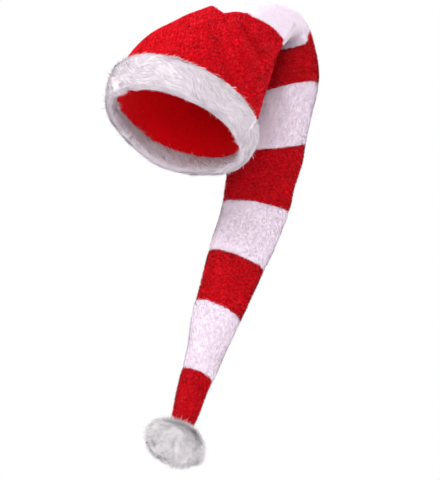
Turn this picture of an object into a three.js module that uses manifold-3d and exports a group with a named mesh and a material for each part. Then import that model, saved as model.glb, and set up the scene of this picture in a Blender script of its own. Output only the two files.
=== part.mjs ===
// Elf hat: a plush cone that folds over at the top and hangs down behind as a long striped tail,
// with a fur strip folded round its rim and a fur pompom on its tip.
//
// Millimetres. +Z is up, -Y is the front of the hat and +X its right side as seen from the front.
// The origin is the middle of the head opening, level with the rim, where the head holds the hat.

import * as THREE from 'three';
import Module from 'manifold-3d';

const wasm = await Module();
wasm.setup();

// Driving dimensions

const headLength = 204; // head opening, front to back, inside the fur
const headWidth = 164; // head opening, side to side, inside the fur
const crownHeight = 302; // rim to the top of the bend
const bendHeight = 232; // rim to where the tail starts to hang straight
const tailDrop = 392; // rim down to the tip of the tail
const tailWidth = 122; // tail at its top, side to side
const tailDepth = 92; // tail at its top, front to back
const tailSway = 10; // how far the tail's tip swings to the side
const tailTurn = 45; // degrees that the flattened tail turns on its way down
const cloth = 2.5; // plush with its knit backing
const seamGap = 0.3; // between two panels, and between a panel and the fur
const hangGap = 21; // between the fur strip and the tail behind it

const furHeight = 53; // fur strip outside, rim to its upper edge
const furSlant = 11; // how much higher that edge is at the front left corner
const furSlantTurn = 150; // angle of that corner, in degrees
const furOut = 13; // fur thickness outside the crown's wall
const furIn = 9; // fur thickness inside the wall
const furTuck = 18; // how far the strip reaches up inside
const furBelow = 12; // fur under the wall's lower edge
const furLockLength = 26;
const furLockWidth = 24;
const furLockLift = 0.045; // how far a lock stands off, as a share of its length
const furSwirl = 0.5; // how far the locks lean to either side, as a share of their run

const pompomWidth = 98; // over the locks, across
const pompomHeight = 76; // over the locks, up and down
const pompomTilt = 14; // degrees that its long axis leans
const pompomSink = 22; // how far the tail's tip goes into it
const pompomLockLength = 15;
const pompomLockWidth = 25;
const pompomLockLift = 0.1;
const pompomLocks = 40;
const pompomFlare = 1.6; // how much more the locks stand out than hang down

const around = 30; // facets round a panel
const furFacets = 32; // facets round the fur strip

// Sizes that follow from them

const wallLength = headLength + 2 * (furIn + cloth);
const wallWidth = headWidth + 2 * (furIn + cloth);
const reach = wallLength / 2 + furOut + hangGap + tailDepth / 2;
const tailLength = bendHeight + tailDrop;

// Sections of the cone over the head. up is a share of the crown's height; front and back are
// distances from the rim's centre in shares of half the wall's length; wide is a share of its width.

const coneSections = [
  { up: 0.0, front: 0.985, back: 0.985, wide: 0.985 },
  { up: 0.12, front: 0.985, back: 1.0, wide: 1.005 },
  { up: 0.24, front: 0.92, back: 1.03, wide: 1.02 },
  { up: 0.42, front: 0.67, back: 1.08, wide: 0.94 },
  { up: 0.605, front: 0.27, back: 1.15, wide: 0.77 },
];

// Sections of the bend, each a fan blade through the fold under it. out is the point on the line
// over the top and in the point in the fold, back in shares of the tail's reach and up in shares of
// the crown's height; wide is a share of the tail's width.

const bendSections = [
  { outBack: 0.08, outUp: 0.775, inBack: 0.72, inUp: 0.7, wide: 0.94 },
  { outBack: 0.29, outUp: 0.885, inBack: 0.765, inUp: 0.79, wide: 0.91 },
  { outBack: 0.52, outUp: 0.965, inBack: 0.79, inUp: 0.84, wide: 0.92 },
  { outBack: 0.73, outUp: 1.0, inBack: 0.81, inUp: 0.855, wide: 0.94 },
  { outBack: 0.91, outUp: 0.97, inBack: 0.825, inUp: 0.84, wide: 0.94 },
  { outBack: 1.06, outUp: 0.885, inBack: 0.815, inUp: 0.8, wide: 0.94 },
];

// Sections of the hanging tail. down is a share of its length, wide and deep of its width and depth
// at the top, shift moves the section forward in shares of that depth, sway is a share of the tail's
// sway to the side and turn a share of its turn.

const tailSections = [
  { down: 0.0, wide: 0.95, deep: 0.92, shift: 0.02, sway: 0.0, turn: 0.0 },
  { down: 0.08, wide: 0.945, deep: 0.86, shift: 0.0, sway: 0.2, turn: 0.15 },
  { down: 0.21, wide: 0.905, deep: 0.66, shift: -0.03, sway: 0.6, turn: 0.6 },
  { down: 0.35, wide: 0.865, deep: 0.48, shift: -0.02, sway: 0.9, turn: 0.95 },
  { down: 0.46, wide: 0.775, deep: 0.42, shift: 0.0, sway: 0.9, turn: 1.0 },
  { down: 0.57, wide: 0.69, deep: 0.39, shift: 0.05, sway: 0.6, turn: 1.0 },
  { down: 0.69, wide: 0.58, deep: 0.36, shift: 0.1, sway: 0.2, turn: 1.0 },
  { down: 0.8, wide: 0.445, deep: 0.32, shift: 0.14, sway: 0.1, turn: 1.0 },
  { down: 0.91, wide: 0.33, deep: 0.28, shift: 0.17, sway: -0.1, turn: 1.0 },
  { down: 1.0, wide: 0.255, deep: 0.24, shift: 0.19, sway: -0.3, turn: 1.0 },
];

// Panels from the rim to the tip. to is where the panel's upper seam lies, as a share of the way
// along the hat; lean tips that seam to the side, pitch tips it over the top and dip pulls it down
// at the front corner, as shares of the same length; rows is the number of facets along the panel.

const panels = [
  { name: 'crown', colour: 'red', to: 0.245, lean: -0.019, pitch: -0.026, dip: -0.02, rows: 13 },
  { name: 'stripe_1_white', colour: 'white', to: 0.362, lean: -0.012, pitch: -0.012, dip: 0, rows: 9 },
  { name: 'stripe_2_red', colour: 'red', to: 0.439, lean: -0.016, pitch: -0.017, dip: 0, rows: 4 },
  { name: 'stripe_3_white', colour: 'white', to: 0.537, lean: -0.016, pitch: -0.014, dip: 0, rows: 3 },
  { name: 'stripe_4_red', colour: 'red', to: 0.638, lean: -0.006, pitch: -0.001, dip: 0, rows: 3 },
  { name: 'stripe_5_white', colour: 'white', to: 0.732, lean: 0.004, pitch: 0.003, dip: 0, rows: 3 },
  { name: 'stripe_6_red', colour: 'red', to: 0.816, lean: 0.006, pitch: 0.005, dip: 0, rows: 2 },
  { name: 'stripe_7_white', colour: 'white', to: 0.918, lean: 0.003, pitch: 0.003, dip: 0, rows: 3 },
  { name: 'stripe_8_red', colour: 'red', to: 1.0, lean: 0, pitch: 0, dip: 0, rows: 3 },
];

// Dents (negative depth) and folds (positive depth) pressed into the cloth. at is a share of the way
// along the hat and turn the angle in degrees round it, 0 at the right and 90 over the top; long and
// spread are their half lengths along and round in the same units; depth is a share of the tail's depth.

const dipTurn = 48; // angle of the front corner, in degrees
const dipSpread = 34;

const folds = [
  { at: 0.34, turn: 0, long: 0.03, spread: 26, depth: -0.16 },
  { at: 0.34, turn: 180, long: 0.03, spread: 26, depth: -0.16 },
  { at: 0.2, turn: 62, long: 0.07, spread: 16, depth: -0.07 },
  { at: 0.21, turn: 30, long: 0.07, spread: 16, depth: 0.06 },
  { at: 0.12, turn: -62, long: 0.07, spread: 14, depth: -0.06 },
  { at: 0.5, turn: -20, long: 0.08, spread: 22, depth: -0.05 },
  { at: 0.6, turn: 40, long: 0.09, spread: 24, depth: -0.05 },
  { at: 0.72, turn: -35, long: 0.08, spread: 26, depth: 0.04 },
];

// Colours of the plush and the fur

const finishes = {
  red: { color: 0xc40018, roughness: 0.95, metalness: 0.0 },
  white: { color: 0xf2ecf6, roughness: 0.95, metalness: 0.0 },
  fur: { color: 0xeeeaf0, roughness: 1.0, metalness: 0.0 },
};

// The lines that the sections are strung on: over the top, through the fold, the widths and the turns

function sectionLines() {
  const over = [];
  const under = [];
  const widths = [];
  const turns = [];
  const add = (outBack, outUp, inBack, inUp, halfWidth, side, turn = 0) => {
    const back = (outBack + inBack) / 2;
    const up = (outUp + inUp) / 2;
    over.push(new THREE.Vector3(side, outBack, outUp));
    under.push(new THREE.Vector3(side, inBack, inUp));
    widths.push(new THREE.Vector3(halfWidth, back, up));
    turns.push(new THREE.Vector3(turn * THREE.MathUtils.degToRad(tailTurn), back, up));
  };
  for (const s of coneSections) {
    const z = s.up * crownHeight;
    add(-s.front * wallLength / 2, z, s.back * wallLength / 2, z, s.wide * wallWidth / 2, 0);
  }
  for (const s of bendSections) {
    add(s.outBack * reach, s.outUp * crownHeight, s.inBack * reach, s.inUp * crownHeight,
      s.wide * tailWidth / 2, 0);
  }
  for (const s of tailSections) {
    const z = bendHeight - s.down * tailLength;
    const y = reach - s.shift * tailDepth;
    const half = s.deep * tailDepth / 2;
    add(y + half, z, y - half, z, s.wide * tailWidth / 2, s.sway * tailSway, s.turn);
  }
  return {
    over: new THREE.CatmullRomCurve3(over),
    under: new THREE.CatmullRomCurve3(under),
    widths: new THREE.CatmullRomCurve3(widths),
    turns: new THREE.CatmullRomCurve3(turns),
  };
}

const lines = sectionLines();
const middle = new THREE.CatmullRomCurve3(
  lines.over.points.map((p, i) => p.clone().add(lines.under.points[i]).multiplyScalar(0.5)));
middle.arcLengthDivisions = 600;
const hatLength = middle.getLength();

// How far an angle in radians is from one in degrees, either way round

function angleBetween(angle, degrees) {
  const turn = THREE.MathUtils.degToRad(degrees);
  return Math.atan2(Math.sin(angle - turn), Math.cos(angle - turn));
}

// Depth of all folds at one place

function foldDepth(along, angle) {
  let depth = 0;
  for (const fold of folds) {
    const round = angleBetween(angle, fold.turn) / THREE.MathUtils.degToRad(fold.spread);
    const down = (along - fold.at) / fold.long;
    depth += fold.depth * tailDepth * Math.exp(-round * round - down * down);
  }
  return depth;
}

// A point on the outside of the hat, a share of the way along it and at an angle round it

function surface(along, angle) {
  const t = middle.getUtoTmapping(THREE.MathUtils.clamp(along, 0, 1));
  const over = lines.over.getPoint(t);
  const under = lines.under.getPoint(t);
  const halfWidth = lines.widths.getPoint(t).x;
  const centre = over.clone().add(under).multiplyScalar(0.5);
  const up = over.clone().sub(centre);
  const turn = lines.turns.getPoint(t).x;
  const axis = new THREE.Vector3(1, 0, 0).cross(up).normalize();
  const offset = new THREE.Vector3(halfWidth * Math.cos(angle), 0, 0).addScaledVector(up, Math.sin(angle));
  const outward = new THREE.Vector3(Math.cos(angle), 0, 0)
    .addScaledVector(up.clone().normalize(), Math.sin(angle)).normalize();
  return centre
    .add(offset.addScaledVector(outward, foldDepth(along, angle)).applyAxisAngle(axis, turn));
}

// The same point with the directions out of the cloth and along the hat

function frameAt(along, angle) {
  const step = 0.002;
  const turn = 0.01;
  const low = surface(Math.max(along - step, 0), angle);
  const high = surface(Math.min(along + step, 1), angle);
  const tangent = high.sub(low).normalize();
  const round = surface(along, angle + turn).sub(surface(along, angle - turn));
  const normal = tangent.clone().cross(round).normalize();
  return { point: surface(along, angle), normal, tangent };
}

// A closed tube wall between two rings of places; each ring is a function of the angle that gives a
// frame, shifted along the hat, and the wall lies between two distances from the outside.

function wall(ringAt, rows, outside, inside) {
  const positions = [];
  const index = [];
  for (const offset of [outside, inside]) {
    for (let row = 0; row <= rows; row++) {
      for (let k = 0; k < around; k++) {
        const angle = 2 * Math.PI * k / around;
        const { point, normal, tangent, shift } = ringAt(row / rows, angle);
        point.addScaledVector(normal, offset).addScaledVector(tangent, shift);
        positions.push(point.x, point.y, point.z);
      }
    }
  }
  const layer = (rows + 1) * around;
  const quad = (a, b, c, d) => index.push(a, b, c, a, c, d);
  for (let k = 0; k < around; k++) {
    const next = (k + 1) % around;
    for (let row = 0; row < rows; row++) {
      const low = row * around;
      const high = low + around;
      quad(low + k, low + next, high + next, high + k);
      quad(layer + low + k, layer + high + k, layer + high + next, layer + low + next);
    }
    const top = rows * around;
    quad(k, layer + k, layer + next, next);
    quad(top + k, top + next, layer + top + next, layer + top + k);
  }
  return closedSolid(positions, index);
}

// A manifold solid from positions and triangles, turned so that its faces point out

function closedSolid(positions, index) {
  const corner = (i) => new THREE.Vector3().fromArray(positions, 3 * i);
  let volume = 0;
  for (let i = 0; i < index.length; i += 3) {
    volume += corner(index[i]).dot(corner(index[i + 1]).cross(corner(index[i + 2])));
  }
  const triangles = volume < 0 ? index.slice().reverse() : index;
  return new wasm.Manifold(new wasm.Mesh({
    numProp: 3,
    vertProperties: new Float32Array(positions),
    triVerts: new Uint32Array(triangles),
  }));
}

// The solid as a named mesh in its finish

function part(name, solid, finish) {
  const mesh = solid.getMesh();
  const geometry = new THREE.BufferGeometry();
  geometry.setAttribute('position', new THREE.BufferAttribute(mesh.vertProperties, 3));
  geometry.setIndex(new THREE.BufferAttribute(mesh.triVerts, 1));
  geometry.computeVertexNormals();
  const node = new THREE.Mesh(geometry, new THREE.MeshStandardMaterial(finishes[finish]));
  node.name = name;
  return node;
}

// Where a seam runs: its place along the hat at an angle round it

function seamAt(panel, angle) {
  const off = angleBetween(angle, dipTurn) / THREE.MathUtils.degToRad(dipSpread);
  return panel.to + panel.lean * Math.cos(angle) + panel.pitch * Math.sin(angle)
    + panel.dip * Math.exp(-off * off);
}

// A cloth panel between the seam of the panel before it and its own seam

function panelWall(number, grow = 0) {
  const panel = panels[number];
  const from = number > 0 ? (angle) => seamAt(panels[number - 1], angle) : () => 0;
  const ringAt = (share, angle) => {
    const along = THREE.MathUtils.lerp(from(angle), seamAt(panel, angle), share);
    const edge = share === 0 ? 1 : share === 1 ? -1 : 0;
    const shift = edge * (seamGap / 2 - grow);
    return { ...frameAt(along, angle), shift };
  };
  return wall(ringAt, panel.rows, grow, -cloth - grow);
}

// A tuft of fur: a flat tapered lock that leaves the backing at root and runs along way. ahead and
// rise are shares of its length, and wide and thick are half sizes in shares of its width.

const lockSections = [
  { ahead: -0.12, rise: -1.0, wide: 0.32, thick: 0.08 },
  { ahead: 0.3, rise: 1.0, wide: 0.5, thick: 0.16 },
];
const lockTip = { ahead: 1.0, rise: 1.5 };

function lock(root, normal, way, length, width, lift) {
  const side = new THREE.Vector3().crossVectors(normal, way).normalize();
  const place = (section) => root.clone()
    .addScaledVector(way, section.ahead * length)
    .addScaledVector(normal, section.rise * lift * length);
  const positions = [];
  for (const section of lockSections) {
    const wide = section.wide * width;
    const thick = section.thick * width;
    for (const [s, n] of [[wide, 0], [0, thick], [-wide, 0], [0, -thick]]) {
      positions.push(...place(section).addScaledVector(side, s).addScaledVector(normal, n).toArray());
    }
  }
  positions.push(...place(lockTip).toArray());
  const index = [0, 2, 1, 0, 3, 2];
  for (let k = 0; k < 4; k++) {
    const next = (k + 1) % 4;
    index.push(k, next, 4 + next, k, 4 + next, 4 + k);
    index.push(4 + k, 4 + next, 8);
  }
  return closedSolid(positions, index);
}

// The fur strip: its section is a closed outline round the wall's lower edge. up is a height along the
// wall in shares of the strip's height outside, its tuck inside or the fur below, and off a distance
// from the cloth in shares of the fur's thickness there. The last places lie within the cloth, from
// the tuck's height to the upper edge, and are cut away with the slot that the wall fills.

const furOutline = [
  { side: 'out', up: 1.0, off: 0.15 },
  { side: 'out', up: 0.88, off: 0.68 },
  { side: 'out', up: 0.6, off: 0.86 },
  { side: 'out', up: 0.25, off: 0.84 },
  { side: 'below', up: 0.55, off: 0.66 },
  { side: 'below', up: 1.0, off: -0.1 },
  { side: 'below', up: 0.3, off: -0.85 },
  { side: 'in', up: 0.6, off: 0.85 },
  { side: 'in', up: 1.0, off: 0.2 },
  { side: 'seam', up: 1.0, off: 0.5 },
  { side: 'edge', up: 0.55, off: 0.5 },
  { side: 'edge', up: 0.8, off: 0.5 },
  { side: 'edge', up: 1.0, off: 0.5 },
];

function furEdge(angle) {
  return furHeight + furSlant * Math.cos(angleBetween(angle, furSlantTurn));
}

function furPoint(place, angle) {
  const full = { out: furEdge(angle), edge: furEdge(angle), in: furTuck, seam: furTuck, below: -furBelow };
  const height = full[place.side] * place.up;
  const { point, normal } = frameAt(Math.max(height, 0) / hatLength, angle);
  const level = new THREE.Vector3(normal.x, normal.y, 0).normalize();
  const away = {
    out: furOut * place.off,
    in: -cloth - furIn * place.off,
    seam: -cloth * place.off,
    edge: -cloth * place.off,
    below: place.off > 0 ? furOut * place.off : furIn * place.off - cloth,
  }[place.side];
  point.addScaledVector(level, away);
  point.z += Math.min(height, 0);
  return point;
}

function furBacking() {
  const positions = [];
  const index = [];
  const steps = furOutline.length;
  for (let k = 0; k < furFacets; k++) {
    for (const place of furOutline) {
      positions.push(...furPoint(place, 2 * Math.PI * k / furFacets).toArray());
    }
  }
  for (let k = 0; k < furFacets; k++) {
    const here = k * steps;
    const next = (k + 1) % furFacets * steps;
    for (let i = 0; i < steps; i++) {
      const j = (i + 1) % steps;
      index.push(here + i, here + j, next + j, here + i, next + j, next + i);
    }
  }
  return closedSolid(positions, index);
}

// Rows of locks on the strip: from which place of the outline each row springs, how many locks are in
// it, and how long they are as a share of the full lock.

const furLockRows = [
  { place: 1, count: 16, long: 1.0 },
  { place: 2, count: 16, long: 1.0 },
  { place: 3, count: 16, long: 0.9 },
];

function furTrim() {
  let fur = furBacking();
  furLockRows.forEach((row, r) => {
    for (let k = 0; k < row.count; k++) {
      const angle = 2 * Math.PI * (k + 0.5 * (r % 2)) / row.count;
      const root = furPoint(furOutline[row.place], angle);
      const ahead = furPoint(furOutline[row.place + 1], angle);
      const before = furPoint(furOutline[row.place - 1], angle);
      const way = ahead.sub(before).normalize();
      const beside = furPoint(furOutline[row.place], angle + 0.02).sub(root).normalize();
      const normal = new THREE.Vector3().crossVectors(beside, way).normalize();
      way.addScaledVector(beside, furSwirl * Math.sin(3 * angle + r)).normalize();
      fur = fur.add(lock(root, normal, way, row.long * furLockLength, furLockWidth, furLockLift));
    }
  });
  return fur.subtract(panelWall(0, seamGap));
}

// The pompom: a round core with locks springing from it in a spiral that starts beside the tail's tip,
// and a socket for that tip

function pompom() {
  const reachOut = 0.7 * pompomLockLength;
  const core = new THREE.Vector3(pompomWidth / 2, pompomWidth / 2, pompomHeight / 2).subScalar(reachOut);
  const tipHalf = tailSections.at(-1).wide * tailWidth / 2;
  const bare = (tipHalf + pompomLockWidth / 2) / core.x;
  const top = Math.sqrt(1 - bare * bare);
  const ball = new THREE.IcosahedronGeometry(1, 2);
  const positions = [];
  const index = [];
  const seen = new Map();
  const corners = ball.attributes.position;
  for (let i = 0; i < corners.count; i++) {
    const p = new THREE.Vector3().fromBufferAttribute(corners, i);
    const key = p.toArray().map((v) => v.toFixed(5)).join();
    if (!seen.has(key)) {
      seen.set(key, seen.size);
      positions.push(p.x * core.x, p.y * core.y, p.z * core.z);
    }
    index.push(seen.get(key));
  }
  let fur = closedSolid(positions, index);
  for (let k = 0; k < pompomLocks; k++) {
    const height = top - (1 + top) * (k + 0.5) / pompomLocks;
    const angle = k * Math.PI * (3 - Math.sqrt(5));
    const flat = Math.sqrt(1 - height * height);
    const normal = new THREE.Vector3(flat * Math.cos(angle), flat * Math.sin(angle), height);
    const root = normal.clone().multiply(core);
    const way = new THREE.Vector3(0, 0, -1).addScaledVector(normal, pompomFlare).normalize();
    fur = fur.add(lock(root, normal, way, pompomLockLength, pompomLockWidth, pompomLockLift));
  }
  const tip = middle.getPoint(1);
  fur = fur.rotate([0, pompomTilt, 0]).translate([tip.x, tip.y, tip.z + pompomSink - pompomHeight / 2]);
  return fur.subtract(tipSocket());
}

// The room that the tail's tip takes in the pompom: the tip's outside, grown by the gap

function tipSocket() {
  const from = 0.9;
  const rows = 3;
  const positions = [];
  const index = [];
  for (let row = 0; row <= rows; row++) {
    for (let k = 0; k < around; k++) {
      const { point, normal, tangent } = frameAt(THREE.MathUtils.lerp(from, 1, row / rows), 2 * Math.PI * k / around);
      point.addScaledVector(normal, seamGap).addScaledVector(tangent, row === rows ? seamGap : 0);
      positions.push(point.x, point.y, point.z);
    }
  }
  const ends = [middle.getPointAt(from), middle.getPointAt(1).addScaledVector(middle.getTangentAt(1), seamGap)];
  for (const end of ends) positions.push(end.x, end.y, end.z);
  const low = (rows + 1) * around;
  for (let k = 0; k < around; k++) {
    const next = (k + 1) % around;
    for (let row = 0; row < rows; row++) {
      const a = row * around;
      const b = a + around;
      index.push(a + k, a + next, b + next, a + k, b + next, b + k);
    }
    index.push(low, next, k, low + 1, rows * around + k, rows * around + next);
  }
  return closedSolid(positions, index);
}

// Assembly

const hat = new THREE.Group();
panels.forEach((panel, number) => {
  hat.add(part(panel.name, panelWall(number), panel.colour));
});
hat.add(part('fur_trim', furTrim(), 'fur'));
hat.add(part('pompom', pompom(), 'fur'));

export default hat;
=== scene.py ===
# %% [markdown]
# An elf hat: a long striped plush hood, bent over at the top of the crown, with a tail that hangs down,
# a band of fur round the opening and a fur pompom on the tip.
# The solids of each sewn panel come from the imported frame. They are faceted and bare, so each one is made
# into soft cloth here, and then gets the short pile or the long fur that the real one has.

import math

import bmesh
import bpy
import numpy as np
from mathutils import Matrix, Vector


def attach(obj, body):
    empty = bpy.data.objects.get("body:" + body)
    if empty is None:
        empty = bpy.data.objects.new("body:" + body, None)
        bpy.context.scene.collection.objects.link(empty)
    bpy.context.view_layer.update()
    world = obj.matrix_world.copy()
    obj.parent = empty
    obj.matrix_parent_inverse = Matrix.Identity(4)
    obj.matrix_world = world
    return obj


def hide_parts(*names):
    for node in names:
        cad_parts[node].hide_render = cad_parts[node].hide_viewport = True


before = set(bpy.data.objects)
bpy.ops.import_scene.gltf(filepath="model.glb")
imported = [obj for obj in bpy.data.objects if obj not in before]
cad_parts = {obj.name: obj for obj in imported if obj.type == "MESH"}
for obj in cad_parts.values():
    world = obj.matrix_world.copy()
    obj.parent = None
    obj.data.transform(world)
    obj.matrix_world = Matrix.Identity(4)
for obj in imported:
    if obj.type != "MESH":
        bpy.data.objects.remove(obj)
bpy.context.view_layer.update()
MM = 0.001

# %% [markdown]
# The camera looks up at the hat from below and from the front right, so that the opening shows, and it is
# rolled a little, so that the hanging tail leans in the picture. A long lens keeps the perspective weak.

# %% Camera
VIEW_ROUND = math.radians(45)
VIEW_UP = math.radians(-29)
VIEW_ROLL = math.radians(16.6)
VIEW_DISTANCE = 2.4  # metres from the middle of the opening
AIM_RIGHT = 0.0598  # metres from there to the middle of the picture, along its own sides
AIM_DOWN = 0.162
LENS_MM = 125

back = Vector((
    math.sin(VIEW_ROUND) * math.cos(VIEW_UP),
    -math.cos(VIEW_ROUND) * math.cos(VIEW_UP),
    math.sin(VIEW_UP),
))
level = Vector((math.cos(VIEW_ROUND), math.sin(VIEW_ROUND), 0))
upright = back.cross(level)
image_right = level * math.cos(VIEW_ROLL) + upright * math.sin(VIEW_ROLL)
image_up = upright * math.cos(VIEW_ROLL) - level * math.sin(VIEW_ROLL)
eye = back * VIEW_DISTANCE
aim = image_right * AIM_RIGHT - image_up * AIM_DOWN

backward = (eye - aim).normalized()
sideways = image_up.cross(backward).normalized()
upward = backward.cross(sideways)
camera = bpy.data.objects.new("Camera", bpy.data.cameras.new("Camera"))
camera.matrix_world = Matrix((
    (sideways.x, upward.x, backward.x, eye.x),
    (sideways.y, upward.y, backward.y, eye.y),
    (sideways.z, upward.z, backward.z, eye.z),
    (0, 0, 0, 1),
))
camera.data.lens = LENS_MM
camera.data.clip_end = 50
bpy.context.scene.collection.objects.link(camera)
bpy.context.scene.camera = camera
print("camera at", [round(v, 3) for v in eye])

# %% [markdown]
# A small function turns the hex colours that a paint chart gives, which are sRGB, into the linear numbers
# that the shaders work in. Another adds a node with its settings and its links.

# %% Colour and node helpers
def colour(hex_text):
    """A hex colour in sRGB as linear red, green, blue and alpha."""
    parts = [int(hex_text[i : i + 2], 16) / 255 for i in (0, 2, 4)]
    linear = [v / 12.92 if v <= 0.04045 else ((v + 0.055) / 1.055) ** 2.4 for v in parts]
    return (*linear, 1.0)


def add_node(tree, kind, settings=None, sockets=None):
    """Adds a node. A socket's value is a constant, or an output of another node to link."""
    node = tree.nodes.new(kind)
    for key, value in (settings or {}).items():
        setattr(node, key, value)
    for key, value in (sockets or {}).items():
        if isinstance(value, bpy.types.NodeSocket):
            tree.links.new(value, node.inputs[key])
        else:
            node.inputs[key].default_value = value
    return node


def new_material(name):
    """An empty material with its node tree and its output."""
    material = bpy.data.materials.new(name)
    material.use_nodes = True
    tree = material.node_tree
    tree.nodes.clear()
    return material, tree


def finish_material(tree, sockets):
    """Puts a Principled shader with these sockets on the material's output."""
    shader = add_node(tree, "ShaderNodeBsdfPrincipled", {}, sockets)
    add_node(tree, "ShaderNodeOutputMaterial", {}, {"Surface": shader.outputs["BSDF"]})


print("red", [round(v, 3) for v in colour("C80014")])

# %% [markdown]
# The room: a pale floor well below the hat, a bright plain surround like the inside of a photographer's
# tent, and five large soft lamps. The strong one is at the upper left, two fill in from above and from the
# right, and two weak ones reach into the opening and under the band.

# %% Floor, surround and lamps
FLOOR_Z = -1.6  # well below the pompom
FLOOR_REACH = 6
SEEN_WHITE = 1.0
ROOM_LIGHT = 1.22
LAMPS_AIM = Vector((0, 0.1, 0))  # near the middle of the hood

floor_mesh = bpy.data.meshes.new("Floor")
floor_sides = [(-1, -1), (1, -1), (1, 1), (-1, 1)]
floor_mesh.from_pydata(
    [(x * FLOOR_REACH, y * FLOOR_REACH, FLOOR_Z) for x, y in floor_sides], [], [(0, 1, 2, 3)]
)
floor = bpy.data.objects.new("Floor", floor_mesh)
bpy.context.scene.collection.objects.link(floor)

# Painted paper: matt and pale, with a faint unevenness
floor_material, tree = new_material("painted_paper")
place = add_node(tree, "ShaderNodeTexCoord")
grain = add_node(
    tree, "ShaderNodeTexNoise", {}, {"Vector": place.outputs["Object"], "Scale": 3.0}
)
paper = add_node(tree, "ShaderNodeValToRGB", {}, {"Fac": grain.outputs["Fac"]})
paper.color_ramp.elements[0].color = colour("ECECEE")
paper.color_ramp.elements[1].color = colour("F6F6F8")
finish_material(tree, {"Base Color": paper.outputs["Color"], "Roughness": 0.8})
floor_mesh.materials.append(floor_material)

# The surround is seen as pure white. It lights the hat more than that, as the white walls of a photo tent
# do, and the deep pile takes much of that light away again by its own shade
world = bpy.data.worlds.new("Surround")
bpy.context.scene.world = world
world.use_nodes = True
tree = world.node_tree
tree.nodes.clear()
seen = add_node(tree, "ShaderNodeBackground", {}, {"Color": (1, 1, 1, 1), "Strength": SEEN_WHITE})
lit = add_node(tree, "ShaderNodeBackground", {}, {"Color": colour("FFFAFD"), "Strength": ROOM_LIGHT})
ray = add_node(tree, "ShaderNodeLightPath")
both = add_node(
    tree, "ShaderNodeMixShader", {},
    {0: ray.outputs["Is Camera Ray"], 1: lit.outputs["Background"], 2: seen.outputs["Background"]},
)
add_node(tree, "ShaderNodeOutputWorld", {}, {"Surface": both.outputs["Shader"]})
bpy.context.scene.view_settings.view_transform = "Standard"


def lamp(name, place, size, watts):
    """A square area lamp aimed at the hood."""
    light = bpy.data.lights.new(name, "AREA")
    light.size = size
    light.energy = watts
    holder = bpy.data.objects.new(name, light)
    holder.location = place
    holder.rotation_mode = "QUATERNION"
    holder.rotation_quaternion = (LAMPS_AIM - place).to_track_quat("-Z", "Y")
    bpy.context.scene.collection.objects.link(holder)
    return holder


LAMPS = [  # name, metres towards the camera, to the right and up in the picture, size, watts
    ("Key", 0.5, -1.3, 1.4, 0.5, 43),
    ("Top", 0.6, 0.1, 1.9, 0.9, 3),
    ("Fill", 1.3, 1.5, 0.8, 0.9, 16),
    ("Front", 1.6, 0.7, 0.0, 0.9, 6),
    ("Low", 1.3, 0.0, -1.2, 0.9, 4),
]
for name, near, aside, above, size, watts in LAMPS:
    lamp(name, back * near + image_right * aside + image_up * above, size, watts)

# %% [markdown]
# Everything soft is shaped by how far along the hat it lies. The line below runs through the middle of the
# hood from the opening, over the bend and down the tail. Outward means straight away from that line.

# %% The middle line
MIDDLE_LINE = [  # y and z in millimetres, from the opening to the tip
    (0, 0), (6, 72), (24, 126), (52, 182), (77, 221), (102, 251), (127, 271), (149, 278),
    (168, 272), (181, 253), (192, 232), (194, 182), (196, 101), (195, 14), (194, -55),
    (189, -124), (185, -199), (181, -267), (179, -336), (177, -392),
]


def dense_line(rows, steps=24):
    """A Catmull-Rom line through the rows, with its length so far, in metres."""
    p = np.array([(0, y, z) for y, z in rows], float) * MM
    p = np.concatenate([p[:1] * 2 - p[1:2], p, p[-1:] * 2 - p[-2:-1]])
    out = []
    for i in range(1, len(p) - 2):
        a, b, c, d = p[i - 1 : i + 3]
        for t in np.arange(steps) / steps:
            out.append(0.5 * (
                2 * b + (c - a) * t + (2 * a - 5 * b + 4 * c - d) * t**2
                + (3 * b - a - 3 * c + d) * t**3
            ))
    out.append(p[-2])
    out = np.array(out)
    run = np.concatenate([[0], np.cumsum(np.linalg.norm(np.diff(out, axis=0), axis=1))])
    return out, run


line, line_run = dense_line(MIDDLE_LINE)
line_way = np.gradient(line, axis=0)
line_way /= np.linalg.norm(line_way, axis=1, keepdims=True)


def unit(v):
    """The same arrows at length one."""
    return v / np.maximum(np.linalg.norm(v, axis=1, keepdims=True), 1e-9)


CHUNK = 4000  # points compared at a time, to save memory


def along_hat(points, stretch):
    """For each point: how far along the line it is, the line's direction there, and outward.
    Only a stretch of the line counts, because the tail hangs close to the back of the crown."""
    first, last = np.searchsorted(line_run, np.array(stretch) * line_run[-1])
    near_line = line[first : last + 1]
    nearest = np.empty(len(points), int)
    for start in range(0, len(points), CHUNK):
        part = points[start : start + CHUNK]
        gap = ((part[:, None, :] - near_line[None, :, :]) ** 2).sum(2)
        nearest[start : start + CHUNK] = gap.argmin(1) + first
    way = line_way[nearest]
    out = points - line[nearest]
    out = unit(out - way * (out * way).sum(1, keepdims=True))
    return line_run[nearest], way, out


print("line length", round(float(line_run[-1]), 3), "m")

# %% [markdown]
# Cloth is never even. Sums of sine waves in random but seeded directions give soft dents and wrinkles of a
# chosen size, the same on every run, and the same on both faces of a wall because they depend on place only.

# %% Waves for dents and wrinkles
def waves(points, size_mm, seed, count=7):
    """Smooth random heights from about -1 to 1, with bumps about size_mm across."""
    rng = np.random.default_rng(seed)
    way = unit(rng.normal(size=(count, 3)))
    turns = 2 * math.pi / (size_mm * MM * rng.uniform(1.4, 2.6, count))
    start = rng.uniform(0, 2 * math.pi, count)
    return np.sin(points @ (way * turns[:, None]).T + start).sum(1) / math.sqrt(count)


print("waves at the origin", waves(np.zeros((1, 3)), 30, 1).round(3))

# %% [markdown]
# Each solid is copied, its triangles are merged back into four-sided faces, and Catmull-Clark subdivision
# makes the facets round. The cut ends of each wall are creased, so that they stay where the seam is.

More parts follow.
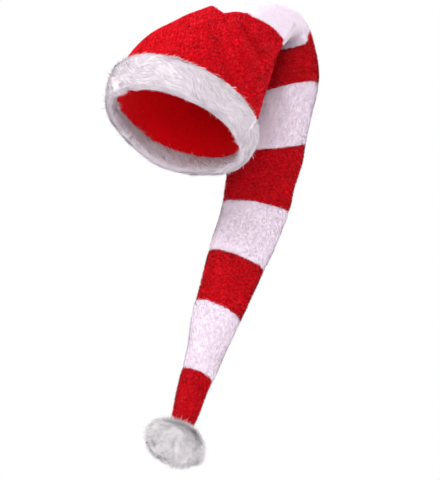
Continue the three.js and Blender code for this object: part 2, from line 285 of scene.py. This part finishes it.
# %% From a faceted solid to a smooth cloth mesh
CREASE_ANGLE = math.radians(60)  # the cut ends of a wall are sharper than this and stay in place
CREASE = 0.9
JOIN_ANGLE = math.radians(50)  # two triangles that meet flatter than this become one face
WELD_MM = 0.05
ROUND_LEVELS = 2


def copy_node(node, name):
    """A new object with the node's mesh, in quads where they can be had."""
    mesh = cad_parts[node].data.copy()
    mesh.materials.clear()
    work = bmesh.new()
    work.from_mesh(mesh)
    bmesh.ops.remove_doubles(work, verts=work.verts, dist=WELD_MM * MM)
    bmesh.ops.join_triangles(
        work, faces=work.faces, angle_face_threshold=JOIN_ANGLE, angle_shape_threshold=JOIN_ANGLE
    )
    crease = work.edges.layers.float.new("crease_edge")
    for edge in work.edges:
        if len(edge.link_faces) == 2 and edge.calc_face_angle() > CREASE_ANGLE:
            edge[crease] = CREASE
    work.to_mesh(mesh)
    work.free()
    piece = bpy.data.objects.new(name, mesh)
    bpy.context.scene.collection.objects.link(piece)
    return piece


def apply_modifiers(piece):
    """Writes what the modifiers make into the mesh."""
    graph = bpy.context.evaluated_depsgraph_get()
    made = bpy.data.meshes.new_from_object(piece.evaluated_get(graph))
    piece.modifiers.clear()
    piece.data = made
    piece.data.name = piece.name


def get_points(mesh):
    """The mesh's vertices as rows."""
    out = np.empty(len(mesh.vertices) * 3)
    mesh.vertices.foreach_get("co", out)
    return out.reshape(-1, 3)


def set_points(mesh, points):
    """Moves the mesh's vertices to these rows."""
    mesh.vertices.foreach_set("co", points.astype(np.float32).ravel())
    mesh.update()


def face_rows(mesh):
    """Centre, normal and area of each face."""
    count = len(mesh.polygons)
    centre, normal, area = np.empty(count * 3), np.empty(count * 3), np.empty(count)
    mesh.polygons.foreach_get("center", centre)
    mesh.polygons.foreach_get("normal", normal)
    mesh.polygons.foreach_get("area", area)
    return centre.reshape(-1, 3), normal.reshape(-1, 3), area


# %% [markdown]
# The fabric is velour plush: a polyester knit whose loops are cut and brushed into a dense short pile. From
# outside one sees the pile, which is bright where it leans to the lamp and dark where it leans away. From
# inside one sees the plain knitted back.

# %% Velour and its knitted back
PILE_MM = 1.3  # tufts of the pile, drawn about twice as coarse as the real ones so that they show
KNIT_MM = 1.6  # courses of the knit, drawn about twice as coarse too
KNIT_DEEP_MM = 0.6
CLOUD_MM = 6  # patches of slightly uneven dye on the back
WAVE_REPEAT = 0.314  # a wave texture at scale 1 repeats at this length
MOTTLE_MM = 3.0  # patches of painted sheen and painted shade, where the nap was brushed another way


def velour(name, deep, bright, sheen, rough_mm):
    """Brushed knit, seen under and between the strands of its pile, with painted sheen and shade in patches.
    """
    material, tree = new_material(name)
    place = add_node(tree, "ShaderNodeTexCoord").outputs["Object"]
    patches = add_node(
        tree, "ShaderNodeTexNoise", {},
        {"Vector": place, "Scale": 1 / (MOTTLE_MM * MM), "Detail": 3.0, "Roughness": 0.6},
    )
    tufts = add_node(
        tree, "ShaderNodeTexNoise", {},
        {"Vector": place, "Scale": 1 / (PILE_MM * MM), "Detail": 2.0, "Roughness": 0.7},
    )
    both = add_node(
        tree, "ShaderNodeMath", {"operation": "MULTIPLY_ADD"},
        {0: tufts.outputs["Fac"], 1: 0.5, 2: patches.outputs["Fac"]},
    )
    # the ramp paints the nap's patches darker and lighter: painted shade and painted sheen
    ramp = add_node(tree, "ShaderNodeValToRGB", {}, {"Fac": both.outputs["Value"]})
    ramp.color_ramp.elements[0].position = 0.55
    ramp.color_ramp.elements[0].color = colour(deep)
    ramp.color_ramp.elements[1].position = 0.95
    ramp.color_ramp.elements[1].color = colour(bright)
    bump = add_node(
        tree, "ShaderNodeBump", {},
        {"Height": both.outputs["Value"], "Strength": 0.6, "Distance": rough_mm * MM},
    )
    finish_material(tree, {
        "Base Color": ramp.outputs["Color"],
        "Roughness": 0.9,
        "Specular IOR Level": 0.2,
        "Sheen Weight": 0.35,
        "Sheen Roughness": 0.45,
        "Sheen Tint": colour(sheen),
        "Normal": bump.outputs["Normal"],
    })
    return material


def knit_back(name, deep, bright):
    """The flat side of the knit: fine courses, a little uneven, with a dull face."""
    material, tree = new_material(name)
    place = add_node(tree, "ShaderNodeTexCoord").outputs["Object"]
    courses = add_node(
        tree, "ShaderNodeTexWave", {"bands_direction": "Z"},
        {"Vector": place, "Scale": WAVE_REPEAT / (KNIT_MM * MM), "Distortion": 1.5,
         "Detail": 2.0, "Detail Scale": 2.0},
    )
    cloudy = add_node(
        tree, "ShaderNodeTexNoise", {},
        {"Vector": place, "Scale": 1 / (CLOUD_MM * MM), "Detail": 4.0},
    )
    ramp = add_node(tree, "ShaderNodeValToRGB", {}, {"Fac": cloudy.outputs["Fac"]})
    ramp.color_ramp.elements[0].position = 0.35
    ramp.color_ramp.elements[0].color = colour(deep)
    ramp.color_ramp.elements[1].position = 0.65
    ramp.color_ramp.elements[1].color = colour(bright)
    bump = add_node(
        tree, "ShaderNodeBump", {},
        {"Height": courses.outputs["Fac"], "Strength": 0.35, "Distance": KNIT_DEEP_MM * MM},
    )
    finish_material(tree, {
        "Base Color": ramp.outputs["Color"],
        "Roughness": 0.85,
        "Specular IOR Level": 0.03,
        "Sheen Weight": 0.03,
        "Sheen Roughness": 0.5,
        "Normal": bump.outputs["Normal"],
    })
    return material


def strand_material(name, hex_text, sheen, weight, rough=0.75):
    """Fine polyester or acrylic fibre: one dyed colour, a dull gloss and a soft edge glow."""
    material, tree = new_material(name)
    finish_material(tree, {
        "Base Color": colour(hex_text),
        "Roughness": rough,
        "Specular IOR Level": 0.02,
        "Sheen Weight": weight,
        "Sheen Roughness": 0.5,
        "Sheen Tint": colour(sheen),
    })
    return material


FABRICS = {
    "red": {
        "face": velour("velour_plush_red", "840008", "B4000C", "FF4050", 1.5),
        # painted light: the red back is a lighter red than the face and the pile, standing in for light
        # inside the hood
        "back": knit_back("knit_back_red", "C8000A", "D40010"),
        # the red tones run from deep to bright: partly the strands' own tone, partly painted shade and
        # painted sheen of the nap
        "pile": [
            strand_material("velour_pile_red_deep", "84000A", "FF3040", 0.02),
            strand_material("velour_pile_red", "B0000C", "FF3040", 0.04),
            strand_material("velour_pile_red_bright", "E4081E", "FF8898", 0.22),
        ],
        "grain": 0.27,
        "ruffle": 1.0,
        "slot": "red_plush",
    },
    "white": {
        "face": velour("velour_plush_white", "D4C8D3", "DCD1DB", "FFFFFF", 0.3),
        "back": knit_back("knit_back_white", "E4DCE6", "ECE6EE"),
        "pile": [
            strand_material("velour_pile_white_deep", "D6CAD5", "FFFFFF", 0.1),
            strand_material("velour_pile_white", "DACED9", "FFFFFF", 0.1),
            strand_material("velour_pile_white_bright", "DED3DD", "FFFFFF", 0.1),
        ],
        "grain": 0.06,
        "ruffle": 0.3,
        "slot": "white_plush",
    },
}
print("fabrics", list(FABRICS))

# %% [markdown]
# A sewn tube of plush has soft dents, a pinch at each seam and small puckers beside the stitches. They are
# made by moving the vertices towards or away from the middle line, both faces of the wall together.

# %% Dress one panel
DENT_MM = 1.0  # heights of the dents, of the ripples between them, of the pinch and of the puckers
RIPPLE_MM = 0.4
PINCH_MM = 0.8
PUCKER_MM = 0.6
DENT_WIDE_MM = 42
RIPPLE_WIDE_MM = 19
PUCKER_WIDE_MM = 8
PINCH_REACH_MM = 5  # how far from the seam the pinch and the puckers go
PUCKER_REACH_MM = 12
SEAM_LAP_MM = 0.9
LAP_REACH_MM = 3
END_ALONG = 0.72  # a face of a sewn end looks along the hat more than this
END_OUTWARD = 0.65  # and away from the middle line less than this
GIRTH_STEP = 0.01  # metres, the slices over which the printed girth is taken

FOLDS = [  # height in mm, less than nothing for a crease; half width in mm; points along it in mm
    (7.0, 8, [(45, -60, 126), (45, -22, 169), (57, 9, 196)]),
    (-9.0, 10, [(75, -1, 157), (83, 19, 143), (86, 40, 126)]),
    (6.0, 9, [(60, -17, 164), (84, -12, 121), (94, 8, 89), (90, 41, 68)]),
    (-5.0, 11, [(68, -45, 119), (85, -40, 79), (92, -24, 51)]),
    (-4.0, 9, [(28, -40, 150), (34, 0, 192), (48, 30, 214)]),
    (-3.0, 3, [(93, 21, 53), (94, 24, 77), (90, 32, 106)]),
    (-3.0, 3, [(86, 54, 95), (84, 53, 114), (82, 54, 135)]),
    (-11.0, 3.6, [(51, 127, 255), (41, 129, 237), (43, 116, 210)]),
    (4.0, 6, [(58, 118, 246), (53, 112, 228), (56, 104, 206)]),
]


def fold_height(points):
    """How far the folds lift each point, in millimetres."""
    height = np.zeros(len(points))
    for lift, half_width, stops in FOLDS:
        nearest = np.full(len(points), np.inf)
        for a, b in zip(np.array(stops[:-1]) * MM, np.array(stops[1:]) * MM):
            share = np.clip((points - a) @ (b - a) / ((b - a) @ (b - a)), 0, 1)
            gap = np.linalg.norm(points - a - share[:, None] * (b - a), axis=1)
            nearest = np.minimum(nearest, gap)
        height += lift * np.exp(-(nearest / (half_width * MM)) ** 2)
    return height


def seam_distance(node, points, stretch):
    """How far each point is from the panel's sewn ends."""
    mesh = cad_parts[node].data
    centre, normal, _ = face_rows(mesh)
    _, way, out = along_hat(centre, stretch)
    along, outward = np.abs((normal * way).sum(1)), np.abs((normal * out).sum(1))
    ends = centre[(along > END_ALONG) & (outward < END_OUTWARD)]
    gap = np.empty(len(points))
    for start in range(0, len(points), CHUNK):
        part = points[start : start + CHUNK]
        gap[start : start + CHUNK] = np.sqrt(((part[:, None] - ends[None]) ** 2).sum(2).min(1))
    return gap


def dress_panel(node, fabric, stretch):
    """The panel as soft cloth, with the pile side outward."""
    piece = copy_node(node, node + "_cloth")
    smooth = piece.modifiers.new("Round", "SUBSURF")
    smooth.levels = ROUND_LEVELS
    apply_modifiers(piece)
    points = get_points(piece.data)
    run, way, out = along_hat(points, stretch)
    from_seam = seam_distance(node, points, stretch)
    move = DENT_MM * waves(points, DENT_WIDE_MM, 11) + RIPPLE_MM * waves(points, RIPPLE_WIDE_MM, 12)
    move += fold_height(points)
    move -= PINCH_MM * np.exp(-(from_seam / (PINCH_REACH_MM * MM)) ** 2)
    near_seam = np.exp(-from_seam / (PUCKER_REACH_MM * MM))
    move += PUCKER_MM * waves(points, PUCKER_WIDE_MM, 13) * near_seam
    # the sewn ends reach a little over the seam, so that no light comes through it
    lap = np.sign(run - run.mean()) * SEAM_LAP_MM * np.exp(-(from_seam / (LAP_REACH_MM * MM)) ** 2)
    set_points(piece.data, points + (out * move[:, None] + way * lap[:, None]) * MM)
    centre, normal, area = face_rows(piece.data)
    run, _, out = along_hat(centre, stretch)
    outside = (normal * out).sum(1) > 0
    piece.data.materials.append(FABRICS[fabric]["face"])
    piece.data.materials.append(FABRICS[fabric]["back"])
    piece.data.polygons.foreach_set("material_index", np.where(outside, 0, 1).astype(np.int32))
    piece.data.polygons.foreach_set("use_smooth", np.ones(len(outside), bool))
    piece.data.update()
    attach(piece, "root")
    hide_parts(node)
    slices = np.bincount(((run - run.min()) / GIRTH_STEP).astype(int)[outside], area[outside])
    length, cloth_area = float(np.ptp(run[outside])), float(area[outside].sum())
    print(piece.name, len(outside), "faces, girth", round(slices.max() / GIRTH_STEP, 3))
    print("length", round(length, 3), "cloth m2", round(cloth_area, 4))
    return piece, outside


# %% [markdown]
# Pile and fur are real strands here, thin tapered ribbons joined into one mesh for each piece. They start at
# random places on the outer face, lean the way the nap is brushed, and neighbours gather into small tufts.

# %% Scatter roots and grow strands
FACING_STRAY = 0.3  # how unevenly the ribbons are turned
TONE_PATCH = 0.4  # how much of a tone comes from its patch, and how much from the single strand
TONE_SINGLE = 0.6
TONE_EDGES = [-0.5, 0.5]


def scatter(mesh, faces, count, rng):
    """Random places on the chosen faces, with the surface normal there."""
    mesh.calc_loop_triangles()
    total = len(mesh.loop_triangles)
    corners, owner = np.empty(total * 3, int), np.empty(total, int)
    area = np.empty(total)
    mesh.loop_triangles.foreach_get("vertices", corners)
    mesh.loop_triangles.foreach_get("polygon_index", owner)
    mesh.loop_triangles.foreach_get("area", area)
    corners = corners.reshape(-1, 3)
    weight = area * faces[owner]
    pick = rng.choice(total, count, p=weight / weight.sum())
    points = get_points(mesh)
    normals = np.empty(len(mesh.vertices) * 3)
    mesh.vertices.foreach_get("normal", normals)
    normals = normals.reshape(-1, 3)
    share = np.sort(rng.random((count, 2)), axis=1)
    share = np.stack([share[:, 0], share[:, 1] - share[:, 0], 1 - share[:, 1]], 1)[:, :, None]
    place = (points[corners[pick]] * share).sum(1)
    normal = unit((normals[corners[pick]] * share).sum(1))
    return place, normal


def ribbons(name, root, mid, tip, width, facing, shade, tone, materials):
    """One mesh of tapered ribbons, each turned to face its own way and in one of the tones. Without a
    middle each ribbon is a single triangle. shade is the way a ribbon faces for the light, or None for
    its own flat face."""
    count = len(root)
    side = unit(np.cross(unit(tip - root), facing))
    half = side * (width / 2)[:, None]
    if mid is None:
        rows = np.stack([root - half, root + half, tip], 1)
        faces = np.arange(count * 3).reshape(-1, 3)
    else:
        rows = np.stack([root - half, root + half, mid + half * 0.8, mid - half * 0.8, tip], 1)
        first = np.arange(count)[:, None] * 5
        faces = np.concatenate([first + [0, 1, 2], first + [0, 2, 3], first + [3, 2, 4]])
        tone = np.tile(tone, 3)
    mesh = bpy.data.meshes.new(name)
    flat = rows.reshape(-1, 3)
    mesh.vertices.add(len(flat))
    mesh.vertices.foreach_set("co", flat.astype(np.float32).ravel())
    mesh.loops.add(faces.size)
    mesh.loops.foreach_set("vertex_index", faces.ravel().astype(np.int32))
    mesh.polygons.add(len(faces))
    mesh.polygons.foreach_set("loop_start", np.arange(len(faces), dtype=np.int32) * 3)
    for material in materials:
        mesh.materials.append(material)
    mesh.polygons.foreach_set("material_index", tone.astype(np.int32))
    mesh.update(calc_edges=True)
    if shade is not None:
        mesh.polygons.foreach_set("use_smooth", np.ones(len(faces), bool))
        corner_shade = np.repeat(shade, rows.shape[1], axis=0)
        mesh.normals_split_custom_set_from_vertices(corner_shade.tolist())
    piece = bpy.data.objects.new(name, mesh)
    bpy.context.scene.collection.objects.link(piece)
    return piece


def tones(points, size_mm, seed, rng):
    """A tone for each strand, 0, 1 or 2, in small patches with some of each mixed in."""
    level = waves(points, size_mm, seed) * TONE_PATCH + rng.normal(size=len(points)) * TONE_SINGLE
    return np.digitize(level, TONE_EDGES)


def swirl(points, size_mm, seed):
    """A random direction that changes smoothly from place to place."""
    return np.stack([waves(points, size_mm, seed + k) for k in range(3)], 1)


# %% [markdown]
# The pile is brushed down the hat, from the rim to the tip, with swirls where it was touched. The strands
# differ a little in tone and in how they take the light, which gives the plush its grain. On the red the
# deep and the bright tones are partly painted shade and painted sheen of the nap.

# %% Pile for one panel
PILE_PER_MM2 = 1.2
PILE_LONG_MM = 3.4
PILE_WIDE_MM = 0.6
NAP_DOWN = 0.7  # how strongly the nap follows the hat, against its swirls
NAP_SWIRLS = [(14, 40, 0.45), (3, 50, 0.35)]  # millimetres across, seed, strength
NAP_STRAY = 0.3
PILE_FLAT = 0.75  # how far the strands lie down, against how far they stand up
PILE_UPRIGHT = (0.45, 0.8)
PILE_LIGHT_MM = 2.2  # patches that take the light alike
PILE_TONE_MM = 2.5  # patches of one tone; on the red, partly painted sheen and shade


def grow_pile(cloth, outside, fabric, stretch, seed):
    """Short brushed pile over the outer face of a panel."""
    rng = np.random.default_rng(seed)
    area = face_rows(cloth.data)[2]
    count = int(area[outside].sum() / MM**2 * PILE_PER_MM2)
    root, normal = scatter(cloth.data, outside.astype(float), count, rng)
    way = along_hat(root, stretch)[1]
    ruffle = FABRICS[fabric]["ruffle"]
    nap = sum(swirl(root, across_mm, start) * strength for across_mm, start, strength in NAP_SWIRLS)
    nap = nap + rng.normal(size=root.shape) * NAP_STRAY
    nap = way * NAP_DOWN + nap * ruffle
    nap -= normal * (nap * normal).sum(1, keepdims=True)
    lean = unit(nap) * PILE_FLAT + normal * rng.uniform(*PILE_UPRIGHT, (count, 1))
    long = PILE_LONG_MM * MM * rng.uniform(0.7, 1.15, count)
    tip = root + unit(lean) * long[:, None]
    wide = PILE_WIDE_MM * MM * rng.uniform(0.8, 1.2, count)
    facing = normal + rng.normal(size=root.shape) * FACING_STRAY
    grain = FABRICS[fabric]["grain"]
    shade = unit(normal + swirl(root, PILE_LIGHT_MM, 90) * grain + rng.normal(size=root.shape) * grain)
    tone = tones(root, PILE_TONE_MM, 30, rng)
    name = cloth.name.replace("_cloth", "_pile")
    pile = ribbons(name, root, None, tip, wide, facing, shade, tone, FABRICS[fabric]["pile"])
    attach(pile, "root")
    print(pile.name, count, "strands")
    return pile


# %% [markdown]
# The panels, from the rim to the tip. The crown is red, the panel over the bend is white, and then the
# stripes alternate down the tail.

# %% Make the panels
CROWN_STRETCH = (0, 0.32)
BEND_STRETCH = (0.18, 0.44)
TAIL_STRETCH = (0.33, 1)

# The flat sizes are those of the solids: the widest girth, the length along the middle line, which takes in
# the slant of both seams, and the area of the outer face
PANELS = [  # node, fabric, stretch of the middle line, how held, flat width and length in mm, area in cm2
    ("crown", "red", CROWN_STRETCH, "draped", 650, 315, 1353),
    ("stripe_1_white", "white", BEND_STRETCH, "draped", 340, 198, 367),
    ("stripe_2_red", "red", TAIL_STRETCH, "hung", 345, 122, 257),
    ("stripe_3_white", "white", TAIL_STRETCH, "hung", 320, 148, 294),
    ("stripe_4_red", "red", TAIL_STRETCH, "hung", 280, 132, 260),
    ("stripe_5_white", "white", TAIL_STRETCH, "hung", 262, 108, 212),
    ("stripe_6_red", "red", TAIL_STRETCH, "hung", 234, 99, 162),
    ("stripe_7_white", "white", TAIL_STRETCH, "hung", 201, 115, 152),
    ("stripe_8_red", "red", TAIL_STRETCH, "hung", 130, 90, 87),
]

for number, (node, fabric, stretch, held, wide_mm, long_mm, area_cm2) in enumerate(PANELS):
    cloth, outside = dress_panel(node, fabric, stretch)
    pile = grow_pile(cloth, outside, fabric, stretch, 100 + number)

# %% [markdown]
# Faux fur is a knit too, with acrylic fibres one or two centimetres long. The band is folded round the
# rim, and the pompom is a stuffed ball of the same fur. Under the strands lies a soft body, which is the
# faceted solid remeshed in small cells and smoothed.

# %% Fur body
FUR_BODY = strand_material("acrylic_fur_body", "CDC5CB", "FFFFFF", 0.2, 0.85)
BAND_STRANDS = [
    strand_material("acrylic_fur_lilac_grey", "CAC2C8", "FFFFFF", 0.15, 0.6),
    strand_material("acrylic_fur_lilac_white", "D7CFD5", "FFFFFF", 0.15, 0.6),
    strand_material("acrylic_fur_lilac_bright", "E3DDE2", "FFFFFF", 0.2, 0.6),
]
POMPOM_STRANDS = [
    strand_material("acrylic_fur_grey", "CECCCD", "FFFFFF", 0.15, 0.6),
    strand_material("acrylic_fur_white", "D8D6D7", "FFFFFF", 0.15, 0.6),
    strand_material("acrylic_fur_bright", "E1DFE0", "FFFFFF", 0.2, 0.6),
]
STRAY_SHARE = 0.015  # strands that stand out from the rest
STRAY_LIFT = 0.6
TUFT_MM = 3.2  # cells whose strands gather into one tuft
TUFT_GATHER = (0.05, 0.4)
CELL_PRIMES = [73856093, 19349663, 83492791]  # they make one number of the three of a cell
EVEN_STRAY = 0.45  # how unevenly flat fur takes the light
FUR_TONE_MM = 9


def fur_body(node, cell_mm, rounds, shrink_mm):
    """The solid as one soft lump, a little smaller, so that the strands fill its outline."""
    piece = copy_node(node, node + "_body")
    remesh = piece.modifiers.new("Cells", "REMESH")
    remesh.mode = "VOXEL"
    remesh.voxel_size = cell_mm * MM
    soften = piece.modifiers.new("Soften", "SMOOTH")
    soften.factor = 0.6
    soften.iterations = rounds
    apply_modifiers(piece)
    points = get_points(piece.data)
    normals = np.empty(len(points) * 3)
    piece.data.vertices.foreach_get("normal", normals)
    set_points(piece.data, points - normals.reshape(-1, 3) * shrink_mm * MM)
    piece.data.polygons.foreach_set("use_smooth", np.ones(len(piece.data.polygons), bool))
    piece.data.materials.append(FUR_BODY)
    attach(piece, "root")
    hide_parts(node)
    print(piece.name, len(piece.data.polygons), "faces")
    return piece


def grow_fur(body, name, strands, count, comb, long_mm, wide_mm, rough, even, seed):
    """Long strands in fine tufts over a fur body. comb gives each root's way, lift and length share.
    even fur takes its light like the body under it, as fur that lies flat does."""
    rng = np.random.default_rng(seed)
    root, normal = scatter(body.data, np.ones(len(body.data.polygons)), count, rng)
    way, lift, share = comb(root, normal)
    way = unit(way - normal * (way * normal).sum(1, keepdims=True))
    stray = rng.random(count) < STRAY_SHARE
    lift = np.where(stray, STRAY_LIFT, lift * rng.uniform(0.6, 1.4, count))[:, None]
    lean = unit(way * (1 - lift) + normal * lift + rng.normal(size=root.shape) * rough)
    long = (long_mm * MM * share * rng.uniform(0.65, 1.15, count))[:, None]
    mid = root + unit(lean + normal * 0.15) * long * 0.5
    tip = mid + unit(lean + way * 0.3 - normal * 0.12) * long * 0.5
    # strands whose roots lie in one cell end near one point, which makes the fine tufts
    cell = np.floor(root / (TUFT_MM * MM)).astype(int)
    key = (cell * CELL_PRIMES).sum(1)
    owner = np.unique(key, return_inverse=True)[1]
    total = np.bincount(owner)
    heart = np.stack([np.bincount(owner, tip[:, k]) / total for k in range(3)], 1)
    tip += (heart[owner] - tip) * rng.uniform(*TUFT_GATHER, (count, 1))
    wide = wide_mm * MM * rng.uniform(0.7, 1.2, count)
    facing = normal + rng.normal(size=root.shape) * FACING_STRAY
    shade = unit(normal + rng.normal(size=root.shape) * EVEN_STRAY) if even else None
    tone = tones(root, FUR_TONE_MM, 80, rng)
    fur = ribbons(name, root, mid, tip, wide, facing, shade, tone, strands)
    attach(fur, "root")
    print(name, count, "strands")
    return fur


# %% [markdown]
# The locks of the solid leave the band's body lumpy, so its section is evened out along the way round the
# opening. Each point has a place round the ring and a direction round the section. Its distance from the
# middle of the section is averaged over the points near it, mostly those along the ring, and it moves there.

# %% Even out a ring of fur
WAY_ROUND_STEPS = 120
SECTION_STEPS = 48
SECTION_DEEP_MM = 9  # half the depth and half the height of the section, which make it count as round
SECTION_TALL_MM = 35
RING_BLUR = 4  # in steps of the way round
SECTION_BLUR = 0.8  # in steps round the section
FULL_SIDE = math.radians(138)  # the side where the fur is folded in more loosely and hangs lower
FULL_REACH = math.radians(34)
FULL_MM = 9
FULL_FROM_MM = 25  # how far below the section's middle it hangs by the full amount


def blur_ring(values, width, axis=0):
    """Gaussian blur of an array that closes on itself along one axis."""
    steps = range(-int(3 * width), int(3 * width) + 1)
    weights = [math.exp(-0.5 * (s / width) ** 2) for s in steps]
    return sum(np.roll(values, s, axis) * w for s, w in zip(steps, weights)) / sum(weights)


def ring_mean(values, column):
    """The blurred mean of the values at each place round the ring, looked up for each point."""
    bins = column.astype(int) % WAY_ROUND_STEPS
    total = np.bincount(bins, minlength=WAY_ROUND_STEPS)
    mean = blur_ring(np.bincount(bins, values, WAY_ROUND_STEPS) / total, RING_BLUR)
    return np.interp(column, np.arange(WAY_ROUND_STEPS) + 0.5, mean, period=WAY_ROUND_STEPS)


def even_radius(radius, column, row):
    """The blurred mean radius, looked up for each point by its place and its direction."""
    cell = column.astype(int) % WAY_ROUND_STEPS * SECTION_STEPS + row.astype(int) % SECTION_STEPS
    sums = []
    for weights in (radius, np.ones(len(radius))):
        grid = np.bincount(cell, weights, WAY_ROUND_STEPS * SECTION_STEPS)
        grid = grid.reshape(WAY_ROUND_STEPS, SECTION_STEPS)
        sums.append(blur_ring(blur_ring(grid, RING_BLUR, 0), SECTION_BLUR, 1))
    mean = sums[0] / sums[1]
    a, b = column - 0.5, row - 0.5
    i, j = np.floor(a).astype(int), np.floor(b).astype(int)
    u, v = a - i, b - j
    found = 0
    for p, q in ((0, 0), (0, 1), (1, 0), (1, 1)):
        corner = mean[(i + p) % WAY_ROUND_STEPS, (j + q) % SECTION_STEPS]
        found = found + corner * (u if p else 1 - u) * (v if q else 1 - v)
    return found


def sleek(piece):
    """Evens out the ring of fur along its way round, and keeps its cross-section."""
    points = get_points(piece.data)
    turn = np.arctan2(points[:, 1], points[:, 0])
    column = (turn / (2 * math.pi) % 1) * WAY_ROUND_STEPS
    reach = np.hypot(points[:, 0], points[:, 1])
    height_middle, reach_middle = ring_mean(points[:, 2], column), ring_mean(reach, column)
    above = points[:, 2] - height_middle
    slope = ring_mean((reach - reach_middle) * above, column) / ring_mean(above**2, column)
    deep = (reach - reach_middle - slope * above) / (SECTION_DEEP_MM * MM)
    tall = above / (SECTION_TALL_MM * MM)
    radius = np.hypot(deep, tall)
    row = (np.arctan2(tall, deep) / (2 * math.pi) % 1) * SECTION_STEPS
    share = even_radius(radius, column, row) / radius
    above = above * share
    reach = reach_middle + slope * above + deep * share * SECTION_DEEP_MM * MM
    away = (turn - FULL_SIDE + math.pi) % (2 * math.pi) - math.pi
    full = FULL_MM * MM * np.exp(-(away / FULL_REACH) ** 2) * np.clip(-above / (FULL_FROM_MM * MM), 0, 1)
    height = height_middle + above - full
    set_points(piece.data, np.stack([reach * np.cos(turn), reach * np.sin(turn), height], 1))
    print(piece.name, "evened out over", WAY_ROUND_STEPS, "places")


# %% [markdown]
# The band's fur is brushed round the opening in swirls. On the inside it is shorter and is brushed up, so
# that it lies partly over the red cloth.

# %% The fur band round the opening
BAND_SWIRL_MM = 22
BAND_SWIRL = 0.5
BAND_DOWN = np.array([0, 0, -0.25])
INSIDE_UP = np.array([0, 0, 0.8])
BAND_LIFT = 0.08
INSIDE_SHORTER = 0.35  # the share of its length that the fur lacks inside

band = fur_body("fur_trim", cell_mm=3.5, rounds=8, shrink_mm=3.0)
sleek(band)


def comb_band(root, normal):
    """Brushed round the band in swirls; on the inside shorter, and partly up over the red cloth."""
    radial = unit(root * [1, 1, 0])
    around = np.cross(np.array([0, 0, 1.0]), radial)
    inward = np.clip(-(normal * radial).sum(1), 0, 1)[:, None]
    way = around + swirl(root, BAND_SWIRL_MM, 60) * BAND_SWIRL + BAND_DOWN
    way += INSIDE_UP * inward
    return way, np.full(len(root), BAND_LIFT), 1 - INSIDE_SHORTER * inward[:, 0]


grow_fur(
    band, "fur_trim_strands", BAND_STRANDS, count=65000, comb=comb_band, long_mm=12, wide_mm=0.5,
    rough=0.1, even=True, seed=201,
)

# %% [markdown]
# The pompom's body becomes a plain ellipsoid with the spread of the solid. The long strands on it are
# brushed away from the tip of the tail, and they stand up more than those of the band.

# %% The pompom
TIP = line[-1]
BALL_SHARE = 0.9  # the ball under the fur, as a share of the whole pompom
BALL_SWIRL_MM = 16
BALL_SWIRL = 0.6
BALL_LIFT = 0.22

ball = fur_body("pompom", cell_mm=3.5, rounds=4, shrink_mm=0.0)


def round_off(piece, share):
    """Turns a lumpy ball into the ellipsoid that has the same spread, scaled by share."""
    points = get_points(piece.data)
    middle = (points.min(0) + points.max(0)) / 2
    spread, axes = np.linalg.eigh(np.cov((points - middle).T))
    radii = np.sqrt(3 * spread) * share
    local = (points - middle) @ axes
    on_ball = unit(local / radii) * radii
    set_points(piece.data, middle + on_ball @ axes.T)
    print(piece.name, "radii mm", (radii / MM).round(1))


round_off(ball, BALL_SHARE)


def comb_ball(root, normal):
    """Brushed away from the tail's tip, over the ball and down, in weak swirls."""
    way = unit(root - TIP) + swirl(root, BALL_SWIRL_MM, 70) * BALL_SWIRL
    return way, np.full(len(root), BALL_LIFT), np.ones(len(root))


grow_fur(
    ball, "pompom_strands", POMPOM_STRANDS, count=65000, comb=comb_ball, long_mm=17, wide_mm=0.5,
    rough=0.18, even=False, seed=202,
)
